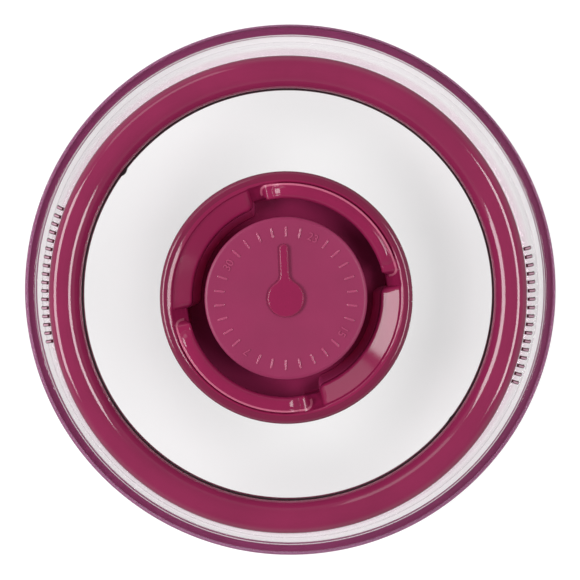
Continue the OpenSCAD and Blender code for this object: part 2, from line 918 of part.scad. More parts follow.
module date_dial() {
  numbered = [2, 10, 18, 25];
  click_r = plate_r - 5.6;
  color(matte_maroon)
    difference() {
      union() {
        revolved([
          [dial_bore_r, dial_z],
          [dial_r - dial_edge_t, dial_z],
          [dial_r - dial_edge_t, dial_top_z - dial_edge_h],
          [dial_r - 0.3, dial_top_z - dial_edge_h],
          [dial_r, dial_top_z - dial_edge_h + 0.3],
          [dial_r, dial_top_z - 0.5],
          [dial_r - 0.5, dial_top_z],
          [dial_bore_r, dial_top_z]
        ]);
        for (i = [0:place_count - 1])
          if (len([for (n = numbered) if (n == i) n]) == 0)
            rotate([0, 0, first_place - i * place_angle])
              translate([mark_in_r, -mark_w / 2, dial_top_z - 0.5])
                cube([mark_l, mark_w, mark_h + 0.5]);
      }
      for (i = [0:place_count - 1])
        rotate([0, 0, first_place - i * place_angle])
          translate([click_r - 1.5, 0, dial_z])
            rotate([0, 90, 0])
              cylinder(r = 0.5, h = 3);
    }
}

dome_shell();
base_seal();
press_ring();
window_panel();
handle();
handle_base();
handle_screws();
panel_gasket();
lock_ring();
check_valve();
button_spring();
release_button();
stem_clip();
pointer();
date_dial();
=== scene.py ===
import math
import bpy
import bmesh
import numpy as np
from mathutils import Matrix, Vector


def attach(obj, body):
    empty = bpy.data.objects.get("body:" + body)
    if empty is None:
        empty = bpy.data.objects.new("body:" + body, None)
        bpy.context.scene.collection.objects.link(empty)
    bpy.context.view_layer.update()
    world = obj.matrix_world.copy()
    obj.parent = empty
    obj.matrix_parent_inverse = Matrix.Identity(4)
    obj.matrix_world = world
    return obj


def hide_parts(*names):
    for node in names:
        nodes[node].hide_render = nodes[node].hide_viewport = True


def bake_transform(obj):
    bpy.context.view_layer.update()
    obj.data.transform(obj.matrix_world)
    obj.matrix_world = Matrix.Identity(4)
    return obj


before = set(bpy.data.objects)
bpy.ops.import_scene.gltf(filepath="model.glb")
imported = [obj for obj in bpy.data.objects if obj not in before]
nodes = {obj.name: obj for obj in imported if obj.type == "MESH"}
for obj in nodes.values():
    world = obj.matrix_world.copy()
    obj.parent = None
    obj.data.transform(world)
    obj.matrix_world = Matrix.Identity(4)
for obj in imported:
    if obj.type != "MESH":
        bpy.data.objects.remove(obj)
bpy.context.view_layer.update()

scene = bpy.context.scene
mm = 0.001
weld = 2e-7
print("frame loaded:", len(nodes), "nodes")


# Node trees, for materials and for geometry alike
def put(tree, kind, settings=None, inputs=None):
    node = tree.nodes.new(kind)
    for key, value in (settings or {}).items():
        setattr(node, key, value)
    for key, value in (inputs or {}).items():
        if isinstance(value, bpy.types.NodeSocket):
            tree.links.new(value, node.inputs[key])
        else:
            node.inputs[key].default_value = value
    return node


def maths(tree, operation, a, b=0.0):
    return put(tree, "ShaderNodeMath", {"operation": operation}, {0: a, 1: b}).outputs[0]


def newTree(name, sockets):
    tree = bpy.data.node_groups.new(name, "GeometryNodeTree")
    tree.interface.new_socket("Geometry", in_out="INPUT", socket_type="NodeSocketGeometry")
    for label, kind in sockets:
        tree.interface.new_socket(label, in_out="INPUT", socket_type="NodeSocket" + kind)
    tree.interface.new_socket("Geometry", in_out="OUTPUT", socket_type="NodeSocketGeometry")
    return tree, tree.nodes.new("NodeGroupInput").outputs, tree.nodes.new("NodeGroupOutput")


# Puts the tree on the object, sets its inputs and keeps the result as a plain mesh
def applyTree(obj, tree, values):
    modifier = obj.modifiers.new(tree.name, "NODES")
    modifier.node_group = tree
    for item in tree.interface.items_tree:
        if item.item_type == "SOCKET" and item.in_out == "INPUT" and item.name in values:
            modifier[item.identifier] = values[item.name]
    graph = bpy.context.evaluated_depsgraph_get()
    plain = bpy.data.meshes.new_from_object(obj.evaluated_get(graph), depsgraph=graph)
    obj.modifiers.clear()
    obj.data = plain
    return obj


def newObject(name, points, faces, edges=()):
    mesh = bpy.data.meshes.new(name)
    mesh.from_pydata((np.asarray(points, float) * mm).tolist(), edges, faces)
    obj = bpy.data.objects.new(name, mesh)
    scene.collection.objects.link(obj)
    return obj


# Joins doubles, turns the faces outwards and shades the mesh smooth up to an angle
def settle(obj, angle):
    work = bmesh.new()
    work.from_mesh(obj.data)
    bmesh.ops.remove_doubles(work, verts=work.verts, dist=weld)
    bmesh.ops.dissolve_degenerate(work, edges=work.edges, dist=weld)
    bmesh.ops.delete(work, geom=[edge for edge in work.edges if not edge.link_faces], context="EDGES")
    bmesh.ops.recalc_face_normals(work, faces=work.faces)
    work.to_mesh(obj.data)
    work.free()
    obj.data.shade_smooth()
    obj.data.set_sharp_from_angle(angle=math.radians(angle))
    return obj


def place(obj, body, slot, *replaced):
    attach(obj, body)
    if replaced:
        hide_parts(*replaced)


def arc(centreR, centreZ, radius, start, end, steps):
    angles = np.radians(np.linspace(start, end, steps + 1))
    return [(centreR + radius * math.cos(a), centreZ + radius * math.sin(a)) for a in angles]


def smooth(t):
    t = np.clip(t, 0, 1)
    return t * t * (3 - 2 * t)


# Faces between neighbouring rings of points
def bridge(loops):
    faces = []
    for low, high in zip(loops, loops[1:]):
        for j in range(len(low)):
            k = (j + 1) % len(low)
            faces.append((low[j], low[k], high[k], high[j]))
    return faces


# Materials: spread is the unevenness of the gloss, grain and waves are noise scales
glossBase = {"spread": 0.04, "grain": 260, "relief": 0.03, "waves": 45, "waveRelief": 0.05}
satinBase = dict(glossBase, spread=0.05, grain=300, relief=0.04)
smallBase = {"spread": 0.05, "grain": 900, "relief": 0.03, "waves": 60, "waveRelief": 0.03}
softBase = {"spread": 0.06, "grain": 800, "relief": 0.06, "waves": 60, "waveRelief": 0.05}
finishes = {
    "handleGloss": dict(glossBase, colour=(0.245, 0.0125, 0.0640), roughness=0.10, shine=0.36),
    # Rim top: a darker copy of the handle plastic, painted shade
    "rimPaintedShade": dict(glossBase, colour=(0.175, 0.0120, 0.0480), roughness=0.11, shine=0.5),
    # Lip ridge: a lighter copy of the handle plastic, a painted highlight
    "ridgePaintedHighlight": dict(satinBase, colour=(0.470, 0.1100, 0.1900), roughness=0.25, shine=0.5),
    # Deep channel: a lighter, matte copy of the handle plastic, painted light
    "wellPaintedLight": dict(satinBase, colour=(0.270, 0.0110, 0.0740), roughness=0.62, shine=0.15, grain=420, relief=0.10),
    # Ramp aprons: a much lighter copy of the handle plastic, painted light where the dial shades them
    "apronPaintedLight": dict(satinBase, colour=(0.520, 0.0450, 0.1800), roughness=0.45, shine=0.3, relief=0.05),
    # Dial marks and numbers: lighter than the dial, a painted highlight on their raised flanks
    "markPaintedHighlight": dict(smallBase, colour=(0.365, 0.0540, 0.1320), roughness=0.12, shine=0.6, spread=0.03),
    # Ring's foot: near black, painted shade for the gap between ring and window
    "seamPaintedShade": dict(smallBase, colour=(0.020, 0.0060, 0.0100), roughness=0.5, shine=0.2),
    # Rib middles: pale, a painted highlight
    "ribPaintedHighlight": dict(smallBase, colour=(0.520, 0.2900, 0.3700), roughness=0.25, shine=0.5),
    # Grip ribs: the ribs are clear plastic; this dark colour is painted shade and the ring's painted reflection
    "ribPaintedShade": dict(smallBase, colour=(0.110, 0.0220, 0.0420), roughness=0.20, shine=0.6),
    "baseGloss": dict(
        glossBase, colour=(0.240, 0.0130, 0.0600), roughness=0.20, shine=0.5,
        spread=0.05, relief=0.04, waveRelief=0.03,
    ),
    "dialMatte": dict(
        smallBase, colour=(0.250, 0.0165, 0.0760), roughness=0.42, shine=0.4,
        spread=0.07, grain=1500, relief=0.14,
    ),
    "ringSilicone": dict(
        softBase, colour=(0.238, 0.0180, 0.0710), roughness=0.085, shine=0.5,
        spread=0.03, grain=500, relief=0.02, waves=55, waveRelief=0.12,
    ),
    "sealSilicone": dict(
        softBase, colour=(0.270, 0.0440, 0.1350), roughness=0.34, shine=0.3,
        spread=0.08, grain=700, relief=0.08, waves=40, waveRelief=0.10,
    ),
    "paleSilicone": dict(softBase, colour=(0.74, 0.71, 0.69), roughness=0.42, shine=0.5),
}
clearFinish = {
    "tint": (0.992, 0.985, 0.989), "roughness": 0.02, "ior": 1.45, "lets": 0.93, "bends": 3, "bands": None,
}
# The body's bands by radius in mm: colour of what comes straight through, and how much comes straight through. The pink
# band beside the ring and the purple band over the skirt are painted reflections of the ring and of the seal
bodyFinish = dict(clearFinish, bands=[
    (99.0, (0.94, 0.84, 0.89), 0.75), (102.4, (0.97, 0.93, 0.95), 0.75),
    (103.6, (0.992, 0.984, 0.990), 0.8), (109.5, (0.992, 0.984, 0.990), 0.8),
    (110.1, (0.94, 0.90, 0.93), 0.25), (113.6, (0.94, 0.88, 0.93), 0.25),
    (113.9, (0.70, 0.46, 0.62), 0.60), (115.2, (0.70, 0.46, 0.62), 0.60),
])
steelFinish = {
    "colour": (0.58, 0.58, 0.60), "smoother": 0.20, "rougher": 0.38,
    "stretch": (900, 900, 120), "relief": 0.1, "depth": 0.0001,
}
clouds = {"scale": 38, "from": 0.3, "to": 0.7, "darker": 0.93, "lighter": 1.07}
glossNoise = {"scale": 120, "haze": 90}
bumpDepth = {"waves": 0.0012, "grain": 0.0002}


def newMaterial(name):
    material = bpy.data.materials.new(name)
    material.use_nodes = True
    tree = material.node_tree
    return material, tree, tree.nodes["Principled BSDF"]


def noise(tree, where, scale, detail):
    return put(tree, "ShaderNodeTexNoise", None, {"Vector": where, "Scale": scale, "Detail": detail}).outputs["Fac"]


# Maps 0 to 1 onto low to high
def between(tree, value, low, high):
    return put(tree, "ShaderNodeMapRange", None, {"Value": value, "To Min": low, "To Max": high}).outputs[0]


# Moulded plastic or silicone: a cloudy colour, uneven gloss, fine grain and long soft waves
def mouldedMaterial(name, finish):
    material, tree, shader = newMaterial(name)
    where = put(tree, "ShaderNodeTexCoord").outputs["Object"]
    shader.inputs["Specular IOR Level"].default_value = finish["shine"]
    ramp = put(tree, "ShaderNodeValToRGB", None, {"Fac": noise(tree, where, clouds["scale"], 3)})
    low, high = ramp.color_ramp.elements
    low.position, high.position = clouds["from"], clouds["to"]
    low.color = [c * clouds["darker"] for c in finish["colour"]] + [1]
    high.color = [min(c * clouds["lighter"], 1) for c in finish["colour"]] + [1]
    tree.links.new(ramp.outputs["Color"], shader.inputs["Base Color"])
    half = finish["spread"] / 2
    gloss = noise(tree, where, glossNoise["scale"], 4)
    uneven = between(tree, gloss, finish["roughness"] - half, finish["roughness"] + half)
    tree.links.new(uneven, shader.inputs["Roughness"])
    swell = put(tree, "ShaderNodeBump", None, {
        "Strength": finish["waveRelief"], "Distance": bumpDepth["waves"],
        "Height": noise(tree, where, finish["waves"], 1),
    })
    fine = put(tree, "ShaderNodeBump", None, {
        "Strength": finish["relief"], "Distance": bumpDepth["grain"],
        "Height": noise(tree, where, finish["grain"], 2), "Normal": swell.outputs[0],
    })
    tree.links.new(fine.outputs[0], shader.inputs["Normal"])
    return material


# Clear plastic: bends what the camera sees at the first surfaces, and lets lamps and soft light straight through
def clearMaterial(name, finish):
    material, tree, shader = newMaterial(name)
    where = put(tree, "ShaderNodeTexCoord").outputs["Object"]
    shader.inputs["Base Color"].default_value = (*finish["tint"], 1)
    shader.inputs["Transmission Weight"].default_value = 1
    shader.inputs["IOR"].default_value = finish["ior"]
    haze = noise(tree, where, glossNoise["haze"], 4)
    uneven = between(tree, haze, finish["roughness"] * 0.4, finish["roughness"] * 1.8)
    tree.links.new(uneven, shader.inputs["Roughness"])
    through = put(tree, "ShaderNodeBsdfTransparent", None, {"Color": (finish["lets"],) * 3 + (1,)})
    straight = 0.0
    if finish["bands"]:
        flat = put(tree, "ShaderNodeVectorMath", {"operation": "MULTIPLY"}, {0: where, 1: (1, 1, 0)}).outputs[0]
        radius = put(tree, "ShaderNodeVectorMath", {"operation": "LENGTH"}, {0: flat}).outputs["Value"]
        first, last = finish["bands"][0][0], finish["bands"][-1][0]
        across = put(tree, "ShaderNodeMapRange", None, {"Value": radius, "From Min": first * mm, "From Max": last * mm})
        ramp = put(tree, "ShaderNodeValToRGB", None, {"Fac": across.outputs[0]})
        stops = ramp.color_ramp.elements
        while len(stops) < len(finish["bands"]):
            stops.new(0.5)
        for stop, (r, colour, share) in zip(stops, finish["bands"]):
            stop.position = (r - first) / (last - first)
            stop.color = (*colour, share)
        tree.links.new(ramp.outputs["Color"], through.inputs["Color"])
        straight = ramp.outputs["Alpha"]
    ray = put(tree, "ShaderNodeLightPath").outputs
    deep = maths(tree, "GREATER_THAN", ray["Ray Depth"], finish["bends"] - 0.5)
    soft = maths(tree, "MAXIMUM", maths(tree, "MAXIMUM", ray["Is Shadow Ray"], ray["Is Diffuse Ray"]), deep)
    soft = maths(tree, "MAXIMUM", soft, straight)
    mix = put(tree, "ShaderNodeMixShader", None, {0: soft, 1: shader.outputs[0], 2: through.outputs[0]})
    tree.links.new(mix.outputs[0], tree.nodes["Material Output"].inputs["Surface"])
    return material


# Steel with fine drawn lines
def steelMaterial(name, finish):
    material, tree, shader = newMaterial(name)
    where = put(tree, "ShaderNodeTexCoord").outputs["Object"]
    shader.inputs["Base Color"].default_value = (*finish["colour"], 1)
    shader.inputs["Metallic"].default_value = 1
    stretched = put(tree, "ShaderNodeMapping", None, {"Vector": where, "Scale": finish["stretch"]}).outputs[0]
    lines = noise(tree, stretched, 1.0, 3)
    tree.links.new(between(tree, lines, finish["smoother"], finish["rougher"]), shader.inputs["Roughness"])
    bump = put(tree, "ShaderNodeBump", None, {
        "Strength": finish["relief"], "Distance": finish["depth"], "Height": lines,
    })
    tree.links.new(bump.outputs[0], shader.inputs["Normal"])
    return material


looks = {name: mouldedMaterial(name, finish) for name, finish in finishes.items()}
looks["clearPlastic"] = clearMaterial("clearPlastic", clearFinish)
looks["clearBanded"] = clearMaterial("clearBanded", bodyFinish)
looks["drawnSteel"] = steelMaterial("drawnSteel", steelFinish)


# The frame's own meshes get the same looks
def dress(name, look):
    data = nodes[name].data
    if not data.materials:
        data.materials.append(looks[look])
    for i in range(len(data.materials)):
        data.materials[i] = looks[look]


for name, look in {
    "base_seal": "sealSilicone", "window_panel": "clearPlastic", "handle_base": "baseGloss",
    "handle_screws": "drawnSteel", "panel_gasket": "paleSilicone", "lock_ring": "baseGloss",
    "check_valve": "paleSilicone", "button_spring": "drawnSteel", "release_button": "baseGloss",
    "stem_clip": "drawnSteel", "dome_shell": "clearPlastic", "press_ring": "ringSilicone",
    "handle": "handleGloss", "pointer": "handleGloss", "date_dial": "dialMatte",
}.items():
    dress(name, look)
print("materials made")


# A section swept round the axis: the tree that makes the body, seal, ring, dial and valve
def sweepTree():
    tree, given, out = newTree("sweptSection", [("Radius", "Float"), ("Steps", "Int"), ("Material", "Material")])
    path = put(tree, "GeometryNodeCurvePrimitiveCircle", None, {
        "Resolution": given["Steps"], "Radius": given["Radius"],
    })
    section = put(tree, "GeometryNodeMeshToCurve", None, {"Mesh": given["Geometry"]})
    swept = put(tree, "GeometryNodeCurveToMesh", None, {
        "Curve": path.outputs["Curve"], "Profile Curve": section.outputs[0],
    })
    real = put(tree, "GeometryNodeRealizeInstances", None, {"Geometry": swept.outputs[0]})
    coated = put(tree, "GeometryNodeSetMaterial", None, {"Geometry": real.outputs[0], "Material": given["Material"]})
    tree.links.new(coated.outputs[0], out.inputs[0])
    return tree


sweeping = sweepTree()


# The section is a closed list of (radius, height) in mm
def sweptPiece(name, section, look, steps, angle=32):
    middle = sum(r for r, z in section) / len(section)
    points = [(r - middle, -z, 0) for r, z in section]
    edges = [(i, (i + 1) % len(points)) for i in range(len(points))]
    obj = newObject(name, points, [], edges)
    applyTree(obj, sweeping, {"Radius": middle * mm, "Steps": steps, "Material": looks[look]})
    return settle(obj, angle)


# Copies of one shape round the axis, in groups, with some places left out
def copyTree(name, skipped=()):
    tree, given, out = newTree(name, [
        ("Count", "Int"), ("Per Group", "Float"), ("First Angle", "Float"),
        ("Pitch", "Float"), ("Group Turn", "Float"), ("Material", "Material"),
    ])
    points = put(tree, "GeometryNodePoints", None, {"Count": given["Count"]}).outputs[0]
    index = put(tree, "GeometryNodeInputIndex").outputs[0]
    inGroup = maths(tree, "MODULO", index, given["Per Group"])
    group = maths(tree, "FLOOR", maths(tree, "DIVIDE", maths(tree, "ADD", index, 0.5), given["Per Group"]))
    within = maths(tree, "MULTIPLY", inGroup, given["Pitch"])
    turn = maths(tree, "ADD", within, maths(tree, "MULTIPLY", group, given["Group Turn"]))
    angle = maths(tree, "RADIANS", maths(tree, "ADD", turn, given["First Angle"]))
    spin = put(tree, "ShaderNodeCombineXYZ", None, {"Z": angle}).outputs[0]
    copies = put(tree, "GeometryNodeInstanceOnPoints", None, {
        "Points": points, "Instance": given["Geometry"], "Rotation": spin,
    })
    drawn = 1.0
    for spot in skipped:
        away = maths(tree, "ABSOLUTE", maths(tree, "SUBTRACT", index, float(spot)))
        drawn = maths(tree, "MULTIPLY", drawn, maths(tree, "GREATER_THAN", away, 0.5))
    if skipped:
        tree.links.new(drawn, copies.inputs["Selection"])
    real = put(tree, "GeometryNodeRealizeInstances", None, {"Geometry": copies.outputs[0]}).outputs[0]
    coated = put(tree, "GeometryNodeSetMaterial", None, {"Geometry": real, "Material": given["Material"]})
    tree.links.new(coated.outputs[0], out.inputs[0])
    return tree


# Clear body: lip, shoulder, leaning wall, flange and skirt
body = {
    "outR": 115.0, "footR": 110.0, "shoulderR": 102.4, "round": 3.2, "wall": 2.5, "top": 50.0,
    "flangeTop": 10.5, "flangeUnder": 8.0, "skirt": 1.1, "skirtZ": 3.5, "lipR": 95.2,
    "skirtRound": 0.6, "rimRound": 0.9, "footRound": 1.3, "lipRound": 0.3, "chamfer": 0.15,
}


def bodySection(b):
    inner = b["round"] - b["wall"]
    lipZ = b["top"] - b["wall"]
    skirtInR, wallInR = b["outR"] - b["skirt"], b["footR"] - b["wall"]
    skirtRound, rimRound, footRound, lipRound = b["skirtRound"], b["rimRound"], b["footRound"], b["lipRound"]
    return (
        [(skirtInR, b["flangeUnder"]), (skirtInR, b["skirtZ"] + b["chamfer"]), (skirtInR + b["chamfer"], b["skirtZ"])]
        + arc(b["outR"] - skirtRound, b["skirtZ"] + skirtRound, skirtRound, -90, 0, 5)
        + arc(b["outR"] - rimRound, b["flangeTop"] - rimRound, rimRound, 0, 90, 8)
        + arc(b["footR"] + footRound, b["flangeTop"] + footRound, footRound, 270, 187, 8)
        + arc(b["shoulderR"] - b["round"], b["top"] - b["round"], b["round"], 9, 90, 16)
        + arc(b["lipR"] + lipRound, b["top"] - lipRound, lipRound, 90, 180, 3)
        + arc(b["lipR"] + lipRound, lipZ + lipRound, lipRound, 180, 270, 3)
        + arc(b["shoulderR"] - b["wall"] - inner, lipZ - inner, inner, 90, 8, 6)
        + [(wallInR, b["flangeTop"] + 0.4), (wallInR, b["flangeUnder"])]
    )


clearBody = sweptPiece("clearBody", bodySection(body), "clearBanded", 420)
place(clearBody, "dome", "clear_body", "dome_shell")

seal = {"inR": 109.95, "outR": 113.75, "high": 8.0, "skirtZ": 3.5, "footR": 114.8, "footEdge": 0.7, "lean": 1.4}


def sealSection(g):
    footIn, skirtZ = g["inR"] + g["lean"], g["skirtZ"]
    return [
        (g["outR"], g["high"]), (g["outR"], skirtZ), (g["outR"] - 0.1, skirtZ - 0.6), (g["outR"] - 0.3, skirtZ - 1.1),
        (g["footR"] - 0.1, g["footEdge"] + 0.1), (g["footR"], g["footEdge"]),
        (g["footR"], 0.15), (g["footR"] - 0.15, 0), (footIn + 0.2, 0), (footIn, 0.2),
        (g["inR"] + 0.1, g["high"] - 0.7), (g["inR"], g["high"] - 0.3), (g["inR"], g["high"]),
    ]


baseSeal = sweptPiece("baseSeal", sealSection(seal), "sealSilicone", 420)
place(baseSeal, "dome", "seal_silicone", "base_seal")

ribs = {
    "perSide": 17, "pitch": 2.0, "turn": -4.9, "width": 1.5, "proud": 0.75, "run": 3.0,
    "sunk": 0.25, "lean": 0.19, "highlightHalf": 0.3, "highlightFrom": 100.3, "highlightTo": 102.9,
}


# One rib that follows the shoulder, with rounded flanks
def ribShape(r):
    sunk, coreR = r["sunk"], body["round"] - r["sunk"]
    centreR, centreZ = body["shoulderR"] - body["round"], body["top"] - body["round"]
    line = [(math.cos(math.radians(a)), math.sin(math.radians(a))) for a in np.linspace(82, 4, 9)]
    heights = [0.15] + [1] * 8
    rows = [(centreR + coreR * c, centreZ + coreR * s, c, s, full) for (c, s), full in zip(line, heights)]
    rows.append((centreR + coreR + r["lean"] * r["run"], centreZ - r["run"], 1, r["lean"], 0.5))
    points = []
    across = [(-0.5, 0.0), (-0.46, 0.62), (-0.22, 0.98), (0, 1.05), (0.22, 0.98), (0.46, 0.62), (0.5, 0.0)]
    for baseR, baseZ, c, s, full in rows:
        for side, up in across:
            lift = sunk + r["proud"] * up * full if up else 0
            points.append((baseR + lift * c, side * r["width"], baseZ + lift * s))
    loops = [range(i * len(across), (i + 1) * len(across)) for i in range(len(rows))]
    return points, bridge(loops) + [tuple(loops[0]), tuple(reversed(loops[-1]))]


# The middle of each rib gets a painted highlight, paler than its flanks and ends
def highlightMiddles(obj, r):
    obj.data.materials.append(looks["ribPaintedHighlight"])
    highlightSlot = len(obj.data.materials) - 1
    for face in obj.data.polygons:
        x, y, z = face.center / mm
        fromFirst = (math.degrees(math.atan2(y, x)) - r["turn"]) / r["pitch"] % 1
        aside = abs((fromFirst + 0.5) % 1 - 0.5) * math.radians(r["pitch"]) * math.hypot(x, y)
        if aside < r["highlightHalf"] and r["highlightFrom"] < math.hypot(x, y) < r["highlightTo"]:
            face.material_index = highlightSlot


# The clear ribs are drawn opaque: dark painted shade and reflection, with painted highlights on their middles
gripRibs = newObject("gripRibs", *ribShape(ribs))
applyTree(gripRibs, copyTree("ribCopies"), {
    "Count": 2 * ribs["perSide"], "Per Group": float(ribs["perSide"]), "Pitch": ribs["pitch"],
    "First Angle": ribs["turn"] - ribs["pitch"] * (ribs["perSide"] - 1) / 2, "Group Turn": 180.0,
    "Material": looks["ribPaintedShade"],
})
settle(gripRibs, 50)
highlightMiddles(gripRibs, ribs)
place(gripRibs, "dome", "clear_body")
print("clear body and ribs made")


# Press ring: a rolled crown of silicone, in an outer half and an inner half that rides on the window
ring = {
    "outR": 99.2, "inR": 85.6, "crestR": 92.8, "crown": 2.7, "innerCrown": 1.8, "top": 57.0, "footZ": 51.5,
    "panelZ": 50.0, "skin": 1.8, "neckOutR": 95.05, "neckInR": 89.1, "neck": 1.3, "corner": 0.3,
    "flangeOutZ": 47.35, "flangeInZ": 46.7, "flange": 1.4, "flangeOutR": 98.0, "flangeInR": 85.0, "seam": 0.65,
}


# Points from the crest to a foot on one side of the crown
def crown(reach, rise, footZ, crestR, side, power, steps):
    points = []
    for a in np.linspace(90, 0, steps + 1):
        c, s = max(math.cos(math.radians(a)), 0), math.sin(math.radians(a))
        points.append((crestR + side * reach * c ** (2 / power), footZ + rise * max(s, 0) ** (2 / power)))
    return points


def ringHalf(g, outer):
    side = 1 if outer else -1
    power = g["crown"] if outer else g["innerCrown"]
    reach = g["outR"] - g["crestR"] if outer else g["crestR"] - g["inR"]
    rise = g["top"] - g["footZ"]
    top = crown(reach, rise, g["footZ"], g["crestR"], side, power, 26)
    under = crown(reach - g["skin"], rise - g["skin"], g["footZ"], g["crestR"], side, power, 18)
    panelZ, corner = g["panelZ"], g["corner"]
    if outer:
        neck, flangeZ, flangeR = g["neckOutR"], g["flangeOutZ"], g["flangeOutR"]
        foot = [(g["outR"], panelZ + 0.25), (g["outR"] - 0.25, panelZ), (neck, panelZ)]
    else:
        neck, flangeZ, flangeR = g["neckInR"], g["flangeInZ"], g["flangeInR"]
        seamR = g["inR"] - g["seam"]
        foot = [
            (g["inR"], panelZ + 1.2), (g["inR"] - 0.1, panelZ + 0.95),
            (seamR, panelZ + 0.85), (seamR, panelZ + 0.3), (neck, panelZ + 0.3),
        ]
    underZ, backR = flangeZ - g["flange"], neck - side * g["neck"]
    flange = [
        (neck, flangeZ), (flangeR - side * corner, flangeZ), (flangeR, flangeZ - corner),
        (flangeR, underZ + corner), (flangeR - side * corner, underZ), (backR, underZ), (backR, g["footZ"]),
    ]
    return top + foot + flange + list(reversed(under))


# Two small teeth of the ring's foot, dark with its painted shade, opposite each other on the window: their reach by
# heading
teeth = {"reaches": {143.0: 0.8, 323.0: 0.45}, "width": 3.0, "slope": 0.9, "low": 50.1, "high": 51.1}


def growTeeth(obj, t, seamR):
    for vertex in obj.data.vertices:
        x, y, z = vertex.co / mm
        r = math.hypot(x, y)
        if t["low"] < z < t["high"] and r < seamR + 0.05:
            turned = math.degrees(math.atan2(y, x)) % 360
            turn = min(t["reaches"], key=lambda at: abs(turned - at))
            aside = math.radians(abs(turned - turn)) * r
            reach = t["reaches"][turn] * smooth((t["width"] / 2 + 0.5 - aside) / t["slope"])
            vertex.co = (x * (1 - reach / r) * mm, y * (1 - reach / r) * mm, z * mm)


ringOuter = sweptPiece("ringOuter", ringHalf(ring, True), "ringSilicone", 540, 40)
ringInner = sweptPiece("ringInner", ringHalf(ring, False), "ringSilicone", 540, 40)
# The foot inside the ring's inner edge gets the painted shade
ringInner.data.materials.append(looks["seamPaintedShade"])
for face in ringInner.data.polygons:
    if math.hypot(face.center.x, face.center.y) / mm < ring["inR"] - 0.05 and face.center.z / mm > ring["panelZ"]:
        face.material_index = 1
growTeeth(ringInner, teeth, ring["inR"] - ring["seam"])
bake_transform(ringOuter)
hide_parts("press_ring")
place(ringInner, "press_head", "ring_silicone", "press_ring")
print("press ring made")


# Handle: a cup with a rolled rim, two finger lips, two ramps, the boss and the stem guide, lofted section by section
handle = {
    "footR": 47.0, "footZ": 50.4, "beadR": 49.1, "beadZ": 73.8, "bead": 2.2, "wall": 2.4, "wallLean": 0.18376,
    "floorZ": 57.0, "underZ": 54.8, "bossR": 30.5, "bossInR": 28.0, "bossZ": 73.4, "webZ": 64.0, "webTopZ": 66.0,
    "guideR": 6.4, "guideTopZ": 71.0, "guideEndZ": 56.0, "boreR": 3.06, "vents": 6, "ventWidth": 6.0, "ventDeep": 2.0,
    "rimInR": 47.05, "lipR": 43.6, "lipInR": 40.2, "lipEdge": 2.3, "lipUnderZ": 71.95,
    "grooveZ": 74.7, "endZ": 73.7, "lipTurn": 57.8, "lipSpan": 85.0, "noseLong": 8.5, "noseBend": 0.05,
    "closing": 1.8, "endReach": 3.3, "stopSpan": 9.0, "stopR": 41.0,
    "rampR": 38.4, "rampZ": 70.84, "rampOutR": 46.0, "rampOutZ": 74.1, "rampRound": 3.4, "apron": 2.8,
}
# Where the handle has sections, in degrees: a coarse step, and a fine one about each lip's end
handleSteps = {"coarse": 1.25, "fine": 0.2, "fineFrom": -11.6, "fineTo": 14.2, "sharp": 0.06, "ventEdge": 0.15}
# Height of the lip's top by the distance from its middle line, outwards: crown, valley, thin ridge, side
lipSide = np.array([
    (0, 76.8), (0.6, 76.76), (1.1, 76.65), (1.5, 76.5), (1.75, 76.36), (1.9, 76.32), (2.05, 76.42),
    (2.25, 76.54), (2.6, 76.56), (2.8, 76.46), (2.95, 76.1), (3.08, 75.4), (3.2, 74.6), (3.4, 73.5),
])
# The way down from the rim between a lip and a ramp
saddle = [
    (47.0, 75.45), (46.7, 75.2), (46.4, 74.3), (46.0, 73.1), (45.4, 71.95),
    (44.6, 70.8), (43.7, 69.75), (42.9, 69.0), (42.2, 68.45), (41.6, 68.0),
]


def handleAngles(h, steps):
    perDegree = math.radians(1) * h["lipR"]
    ends = [(h["lipTurn"] + half, side) for half in (0, 180) for side in (-1, 1)]
    angles = set(np.round(np.arange(0, 360, steps["coarse"]), 4))
    for middle, side in ends:
        exact = [h["endReach"] / perDegree, h["stopSpan"], h["stopSpan"] + steps["sharp"]]
        for beyond in list(np.arange(steps["fineFrom"], steps["fineTo"], steps["fine"])) + exact:
            angles.add(round((middle + side * (h["lipSpan"] / 2 + beyond)) % 360, 4))
    for i in range(h["vents"]):
        half, past = math.degrees(h["ventWidth"] / 2 / h["bossR"]), steps["ventEdge"]
        for edge in (-half, half):
            angles |= {round((360 * i / h["vents"] + edge + t) % 360, 4) for t in (-past, past)}
    return sorted(angles)


# Points at even distances along a line


def along(line, count):
    line = np.array(line)
    steps = np.concatenate([[0], np.cumsum(np.hypot(*np.diff(line, axis=0).T))])
    at = np.linspace(0, steps[-1], count)
    return [(float(r), float(z)) for r, z in zip(np.interp(at, steps, line[:, 0]), np.interp(at, steps, line[:, 1]))]


